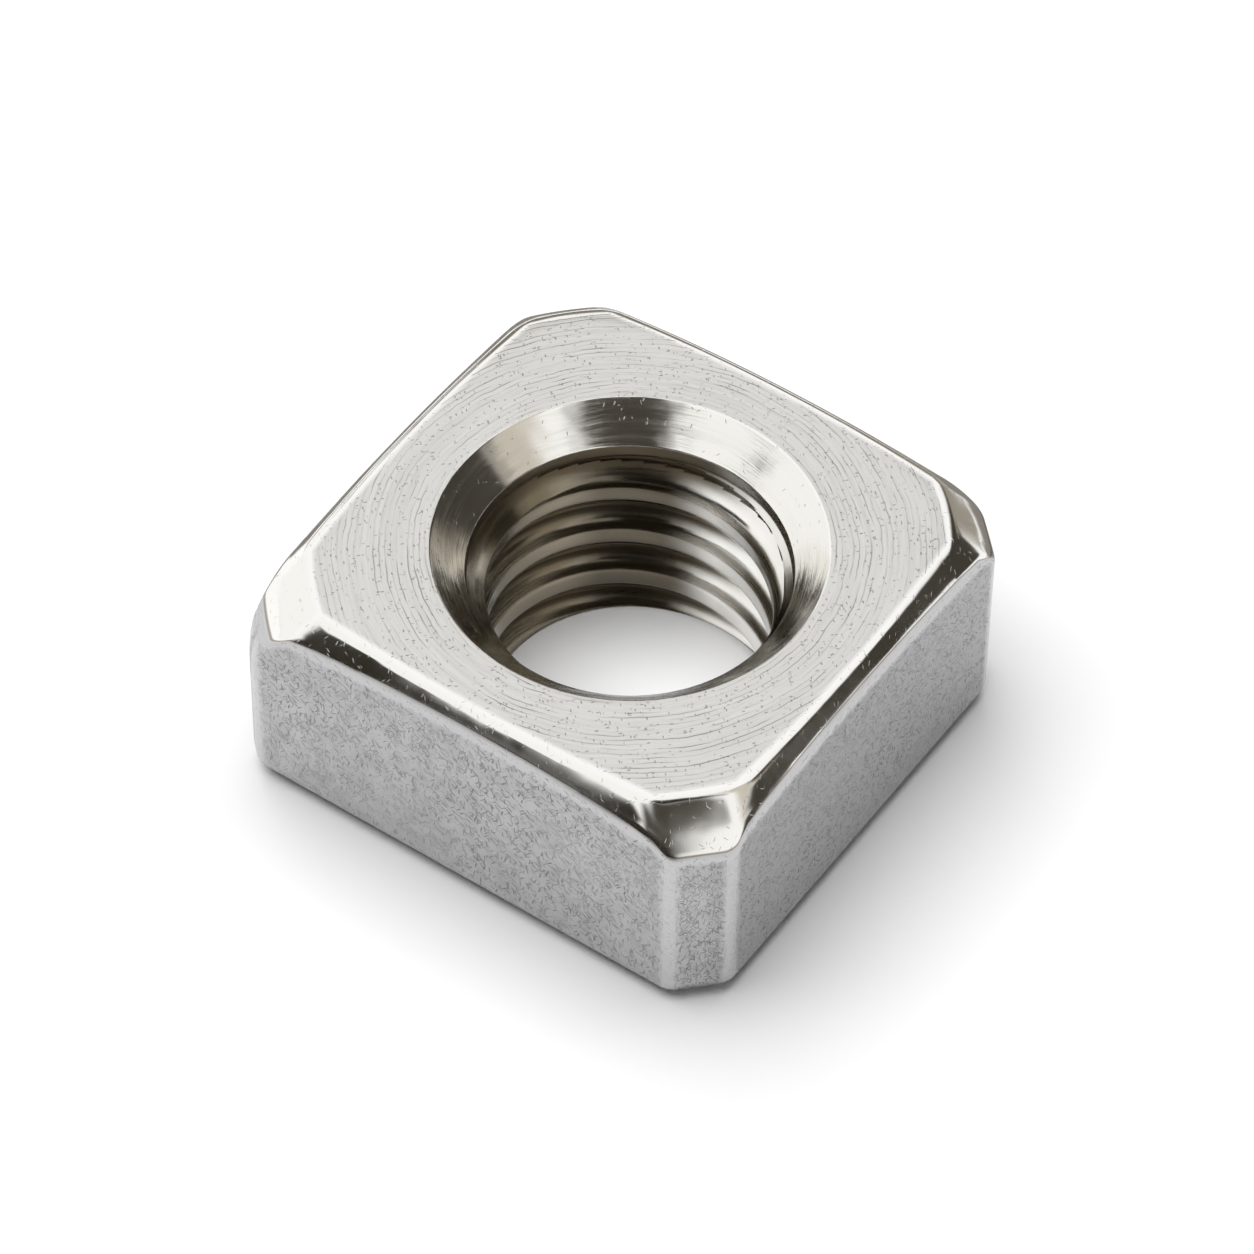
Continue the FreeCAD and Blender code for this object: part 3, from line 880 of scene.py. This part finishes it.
dress(polished_bevel, colour, rough, [(waves, 0.00005, 0.5), (pits.outputs["Height"], 0.000003, 0.5)])

# %% Tumbled sides
# Dark strokes and gouges lie mostly round the nut, in clusters. Borders and edges are rubbed smooth, and
# their lighter grey is partly a painted highlight.
SIDE_DARK, SIDE_LIGHT = (0.43, 0.425, 0.43), (0.50, 0.495, 0.50)
SIDE_SHADED = (0.37, 0.367, 0.375)
SIDE_RUBBED_SHEEN = (0.55, 0.547, 0.55)
SIDE_GLINT_FLECK = (0.88, 0.875, 0.87)
SIDE_STROKE = (0.17, 0.167, 0.165)
SHADED_FROM, SHADED_TO = 0.00505, 0.00550
tumbled_side, tree, spot = new_finish("tumbled_side")
glint_flecks = place_group(tree, scratch_group, spot, Scale=19000.0, Length=4.0, Width=0.24, Amount=0.5)
x, y, z = split_up(tree, spot)
round_the_nut = combine(tree, add(tree, x, y), multiply(tree, subtract(tree, x, y), 0.25), z)
strokes = place_group(tree, scratch_group, round_the_nut, Scale=19000.0, Length=7.0, Width=0.24, Amount=0.85)
gouges = place_group(tree, scratch_group, round_the_nut, Scale=11000.0, Length=10.0, Width=0.12, Amount=0.85)
border = remap(tree, measure(tree, "crease_distance"), 0.06, 0.17, 1.0, 0.0)
upright = remap(tree, measure(tree, "upright_edge"), 0.06, 0.20, 1.0, 0.0)
rubbed_and_sheen = maths(tree, "MAXIMUM", border, upright)
bare = subtract(tree, 1.0, multiply(tree, rubbed_and_sheen, 0.85))
mottle = remap(tree, noise(tree, spot, 2500.0, 3.0, 0.6), 0.3, 0.7)
colour = blend_colour(tree, mottle, SIDE_DARK, SIDE_LIGHT)
# Painted shade: the two sides that face along x are made darker than the others.
shaded_x_sides = remap(tree, size_of(tree, x), SHADED_FROM, SHADED_TO, 0.0, 0.75)
colour = blend_colour(tree, shaded_x_sides, colour, SIDE_SHADED)
# Borders and upright edges: a lighter grey that is partly real wear and partly a painted highlight.
colour = blend_colour(tree, rubbed_and_sheen, colour, SIDE_RUBBED_SHEEN)
# Light flecks: nicks in the plate, painted bright as glints.
light = multiply(tree, glint_flecks.outputs["Mask"], multiply(tree, bare, 0.25))
colour = blend_colour(tree, light, colour, SIDE_GLINT_FLECK)
dark = maths(tree, "MAXIMUM", strokes.outputs["Mask"], gouges.outputs["Mask"])
dark = multiply(tree, dark, bare)
clusters = remap(tree, noise(tree, spot, 420.0, 2.0, 0.6), 0.40, 0.60, 0.20, 0.85)
colour = blend_colour(tree, multiply(tree, dark, clusters), colour, SIDE_STROKE)
rough = subtract(tree, 0.36, multiply(tree, rubbed_and_sheen, 0.12))
dents = subtract(tree, multiply(tree, glint_flecks.outputs["Mask"], bare), dark)
dress(tumbled_side, colour, rough, [(dents, 0.000026, 1.0)])

# %% Countersink
SINK_BRIGHT, SINK_EDGE = (0.90, 0.885, 0.84), (0.95, 0.94, 0.91)
SINK_PIT = (0.40, 0.38, 0.34)
cut_countersink, tree, spot = new_finish("cut_countersink")
marks = place_group(tree, rings_group, spot, Rings_per_mm=7.0, Break_Up=1.5)
pits = place_group(tree, scratch_group, spot, Scale=13000.0, Length=6.0, Width=0.11, Amount=0.35)
waves = noise(tree, spot, 600.0, 2.0, 0.5)
colour = blend_colour(tree, worn_crease(tree, spot, 0.05, 0.9), SINK_BRIGHT, SINK_EDGE)
colour = blend_colour(tree, multiply(tree, pits.outputs["Mask"], 0.6), colour, SINK_PIT)
rough = remap(tree, marks.outputs["Fine"], 0.35, 0.7, 0.10, 0.22)
rough = add(tree, rough, multiply(tree, pits.outputs["Mask"], 0.2))
dress(cut_countersink, colour, rough, [
    (waves, 0.00008, 0.6), (marks.outputs["Fine"], 0.000008, 0.4), (pits.outputs["Height"], 0.000006, 0.5)])

# %% Thread and plain wall
# Two stretches of the wall are painted with shade, lighter on one of them, and the groove gets painted shade
# too. The side vector points at the darkest stretch.
WALL_DARK, WALL_LIGHT = (0.88, 0.86, 0.81), (0.95, 0.94, 0.91)
WALL_SHADE_DEEP, WALL_SHADE_SOFT = (0.10, 0.082, 0.055), (0.25, 0.215, 0.155)
GROOVE_SHADE = (0.13, 0.105, 0.07)
DARKEST_SHADE_SIDE = (-0.85, 0.53)
cut_thread, tree, spot = new_finish("cut_thread")
marks = place_group(tree, rings_group, spot, Rings_per_mm=6.0, Break_Up=1.0)
waves = noise(tree, spot, 700.0, 3.0, 0.5)
colour = blend_colour(tree, remap(tree, waves, 0.35, 0.65), WALL_DARK, WALL_LIGHT)
x, y, _ = split_up(tree, spot)
radius = distance_from_axis(tree, x, y)
# Painted shade: the wall darkens on two stretches, picked by their direction from the axis.
side = add(tree, multiply(tree, x, DARKEST_SHADE_SIDE[0]), multiply(tree, y, DARKEST_SHADE_SIDE[1]))
side = add(tree, divide(tree, side, radius), multiply(tree, waves, 0.16))
wall_shade = maths(tree, "MAXIMUM", remap(tree, side, 0.55, 0.88), remap(tree, side, -0.15, -0.60))
soft_wall_shade = remap(tree, divide(tree, x, radius), -0.70, -0.93)
wall_shade_colour = blend_colour(tree, soft_wall_shade, WALL_SHADE_DEEP, WALL_SHADE_SOFT)
colour = blend_colour(tree, multiply(tree, wall_shade, 0.96), colour, wall_shade_colour)
# Painted shade: the groove darkens towards its root, most on the darkest side of the wall.
groove_shade = remap(tree, measure(tree, "groove_depth"), 0.35, 0.95, 0.0, 0.92)
groove_shade = multiply(tree, groove_shade, remap(tree, side, 0.35, 0.70, 0.10, 1.0))
colour = blend_colour(tree, groove_shade, colour, GROOVE_SHADE)
rough = remap(tree, marks.outputs["Fine"], 0.3, 0.7, 0.12, 0.24)
rough = add(tree, rough, multiply(tree, groove_shade, 0.2))
dress(cut_thread, colour, rough, [(waves, 0.00004, 0.5)])

# %% Dress the nut and hand it to the frame
for material in (turned_top, polished_bevel, tumbled_side, cut_countersink, cut_thread):
    mesh.materials.append(material)
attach(nut, "root")
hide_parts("nut")
print("materials", [m.name for m in mesh.materials])

# %% [markdown]
# ## Studio
#
# Polished metal shows its surroundings, so the studio matters more than the material. The room
# is white, and one large soft lamp hangs almost overhead: the shadow in the photo is short, soft
# and about the same on every side. Dark and grey cards stand where the photographer, the camera
# and the dark ends of the room would be, and give the bevels and the countersink their bands.
# Grey sheets on the floor beside the nut are painted shadow: they darken the floor that the nut's low sides
# reflect.
# Cards and sheets are seen only in reflections.

# %% Floor
FLOOR_RADIUS = 0.6
FLOOR_GAP = 0.000002
FLOOR_LIT, FLOOR_SEEN = (0.75, 0.75, 0.75), (0.97, 0.97, 0.975)


def seen_directly(tree):
    """1 for a ray from the camera or from a mirror, 0 for one that only carries light."""
    path = tree.nodes.new("ShaderNodeLightPath")
    bounced = maths(tree, "MAXIMUM", path.outputs["Is Glossy Ray"], path.outputs["Is Transmission Ray"])
    return maths(tree, "MAXIMUM", path.outputs["Is Camera Ray"], bounced)


bpy.ops.mesh.primitive_circle_add(vertices=128, radius=FLOOR_RADIUS, fill_type="NGON",
                                  location=(0, 0, -FLOOR_GAP))
floor = bpy.context.object
floor.name = "floor"
paper = bpy.data.materials.new("white_paper")
paper.use_nodes = True
tree = paper.node_tree
tree.nodes.remove(tree.nodes["Principled BSDF"])
diffuse = tree.nodes.new("ShaderNodeBsdfDiffuse")
colour = blend_colour(tree, seen_directly(tree), FLOOR_LIT, FLOOR_SEEN)
tree.links.new(colour, diffuse.inputs["Color"])
tree.links.new(diffuse.outputs[0], tree.nodes["Material Output"].inputs["Surface"])
floor.data.materials.append(paper)
print("floor", floor.name)

# %% Room
AMBIENT = 0.12
world = bpy.data.worlds.new("white_room")
bpy.context.scene.world = world
world.use_nodes = True
tree = world.node_tree
background = tree.nodes["Background"]
strength = add(tree, AMBIENT, multiply(tree, seen_directly(tree), 1.0 - AMBIENT))
tree.links.new(strength, background.inputs["Strength"])
background.inputs["Color"].default_value = (1, 1, 1, 1)
print("room", world.name)


# %% Lamp
def toward(azimuth, elevation):
    """Unit vector to a place seen from the nut. Azimuth 0 is in front, 90 to the right."""
    a, e = math.radians(azimuth), math.radians(elevation)
    return Vector((math.sin(a) * math.cos(e), -math.cos(a) * math.cos(e), math.sin(e)))


def soft_lamp(name, azimuth, elevation, distance, size, power):
    """A square soft lamp that looks at the nut."""
    light = bpy.data.lights.new(name, "AREA")
    light.shape = "SQUARE"
    light.size = size
    light.energy = power
    lamp = bpy.data.objects.new(name, light)
    bpy.context.scene.collection.objects.link(lamp)
    lamp.location = toward(azimuth, elevation) * distance
    lamp.rotation_mode = "QUATERNION"
    lamp.rotation_quaternion = toward(azimuth, elevation).to_track_quat("Z", "Y")
    lamp.visible_glossy = False
    print("lamp", name, "at", [round(v, 3) for v in lamp.location])


soft_lamp("key_lamp", -90, 79, distance=0.60, size=0.62, power=4.7)

# %% Helpers for cards and sheets
CARD_COLUMNS, CARD_ROWS = 40, 24
SHEET_LIFT = 0.00003


def sheet_mesh(name, azimuths, reaches, place, fades):
    """A grid round the nut that keeps how solid it is at each point: it fades towards its edges."""
    points, quads, solid = [], [], []
    for j in range(CARD_ROWS + 1):
        for i in range(CARD_COLUMNS + 1):
            azimuth = azimuths[0] + (azimuths[1] - azimuths[0]) * i / CARD_COLUMNS
            reach = reaches[0] + (reaches[1] - reaches[0]) * j / CARD_ROWS
            points.append(place(azimuth, reach))
            margins = (azimuth - azimuths[0], azimuths[1] - azimuth, reach - reaches[0], reaches[1] - reach)
            solid.append(min([1.0] + [m / fade for m, fade in zip(margins, fades) if fade]))
    for j in range(CARD_ROWS):
        for i in range(CARD_COLUMNS):
            a = j * (CARD_COLUMNS + 1) + i
            quads.append((a, a + 1, a + CARD_COLUMNS + 2, a + CARD_COLUMNS + 1))
    sheet = bpy.data.meshes.new(name)
    sheet.from_pydata(points, [], quads)
    sheet.attributes.new("solid", "FLOAT", "POINT").data.foreach_set("value", solid)
    return sheet


def cloth_of(name, colour):
    """A plain glowing material, clear where the sheet isn't solid."""
    cloth = bpy.data.materials.new(name)
    cloth.use_nodes = True
    tree = cloth.node_tree
    tree.nodes.remove(tree.nodes["Principled BSDF"])
    glow = tree.nodes.new("ShaderNodeEmission")
    glow.inputs["Color"].default_value = (*colour, 1)
    blend = tree.nodes.new("ShaderNodeMixShader")
    tree.links.new(measure(tree, "solid"), blend.inputs["Fac"])
    tree.links.new(tree.nodes.new("ShaderNodeBsdfTransparent").outputs[0], blend.inputs[1])
    tree.links.new(glow.outputs[0], blend.inputs[2])
    tree.links.new(blend.outputs[0], tree.nodes["Material Output"].inputs["Surface"])
    return cloth


def reflector(name, azimuths, reaches, place, colour, fades):
    """A sheet round the nut that is seen only in its reflections."""
    sheet = sheet_mesh(name, azimuths, reaches, place, fades)
    sheet.materials.append(cloth_of(name, colour))
    obj = bpy.data.objects.new(name, sheet)
    bpy.context.scene.collection.objects.link(obj)
    obj.visible_camera = False
    obj.visible_diffuse = False
    obj.visible_shadow = False
    obj.visible_transmission = False
    obj.visible_volume_scatter = False


def card(name, azimuths, elevations, colour, distance=0.30, fades=(6, 6, 0, 6)):
    """A curved card that stands or hangs round the nut. Fades are in degrees."""
    reflector(name, azimuths, elevations,
              lambda azimuth, reach: toward(azimuth, reach) * distance, colour, fades)


def floor_shadow_sheet(name, azimuths, radii, colour, fades):
    """A sheet of painted shadow that lies on the floor. Radii, and the fades along them, are in millimetres.
    """
    lift = Vector((0, 0, SHEET_LIFT))
    reflector(name, azimuths, radii,
              lambda azimuth, reach: toward(azimuth, 0) * reach * MM + lift, colour, fades)


# %% Cards and sheets
DARK_CARD = (0.030, 0.026, 0.020)
SIDE_CARD = (0.050, 0.045, 0.036)
SHADOW_SHEET_GREY = (0.24, 0.22, 0.20)
card("card_left_front", (-48, -14), (0.5, 30), DARK_CARD, distance=0.301, fades=(6, 8, 0, 3))
card("card_front", (-24, 50), (0.5, 28), DARK_CARD, fades=(8, 6, 0, 3))
card("card_camera", (4, 72), (33, 60), (0.055, 0.048, 0.038), distance=0.31, fades=(12, 10, 5, 6))
card("card_hands", (-6, 54), (20, 40), (0.060, 0.055, 0.046), distance=0.315, fades=(8, 8, 3, 5))
card("card_over", (2, 84), (54, 84), (0.020, 0.016, 0.011), distance=0.32, fades=(6, 8, 6, 4))
card("card_beige", (84, 130), (22, 74), (0.60, 0.56, 0.49), distance=0.33, fades=(10, 8, 6, 6))
card("card_right", (112, 184), (0.5, 49), SIDE_CARD, fades=(8, 7, 0, 6))
card("card_right_front", (90, 124), (0.5, 27), SIDE_CARD, distance=0.305, fades=(5, 8, 0, 5))
card("card_behind", (174, 240), (0.5, 30), (0.20, 0.18, 0.15), distance=0.31)
card("card_low", (155, 195), (0.5, 24), (0.32, 0.29, 0.25), distance=0.026, fades=(8, 8, 0, 8))
card("card_low_left", (-150, -102), (0.5, 11), (0.16, 0.15, 0.135), distance=0.05, fades=(8, 9, 0, 7))
# Painted shadow: grey sheets on the floor beside the nut, seen only in reflections.
floor_shadow_sheet("shadow_sheet_left", (-150, -78), (9.5, 19), SHADOW_SHEET_GREY, (8, 8, 1.5, 3))
floor_shadow_sheet("shadow_sheet_back", (-216, -142), (9.0, 25), SHADOW_SHEET_GREY, (8, 8, 1.5, 3))

# %% [markdown]
# ## Camera
#
# A long lens from the front and right, half way up, with the nut turned so that one corner
# points at the viewer.

# %% Camera
FRAME_PIXELS = 1254
FOCAL_PIXELS = 6648.46
CAMERA_DISTANCE = 0.130719
azimuth, elevation, roll = 34.3903, 49.7795, math.radians(0.6648)
target = Vector((-0.28381, 0.34333, 2.24)) * MM
camera_data = bpy.data.cameras.new("camera")
camera_data.sensor_width = 36.0
camera_data.lens = FOCAL_PIXELS / FRAME_PIXELS * camera_data.sensor_width
camera_data.clip_start = 0.005
camera_data.clip_end = 2.0
camera = bpy.data.objects.new("camera", camera_data)
bpy.context.scene.collection.objects.link(camera)
back = toward(azimuth, elevation)
right = Vector((0, 0, 1)).cross(back).normalized()
up = back.cross(right)
rolled_right = right * math.cos(roll) + up * math.sin(roll)
rolled_up = up * math.cos(roll) - right * math.sin(roll)
turn = Matrix((rolled_right, rolled_up, back)).transposed().to_4x4()
camera.matrix_world = Matrix.Translation(target + back * CAMERA_DISTANCE) @ turn
bpy.context.scene.camera = camera
bpy.context.scene.view_settings.view_transform = "Standard"
print("lens", round(camera_data.lens, 2), "mm")
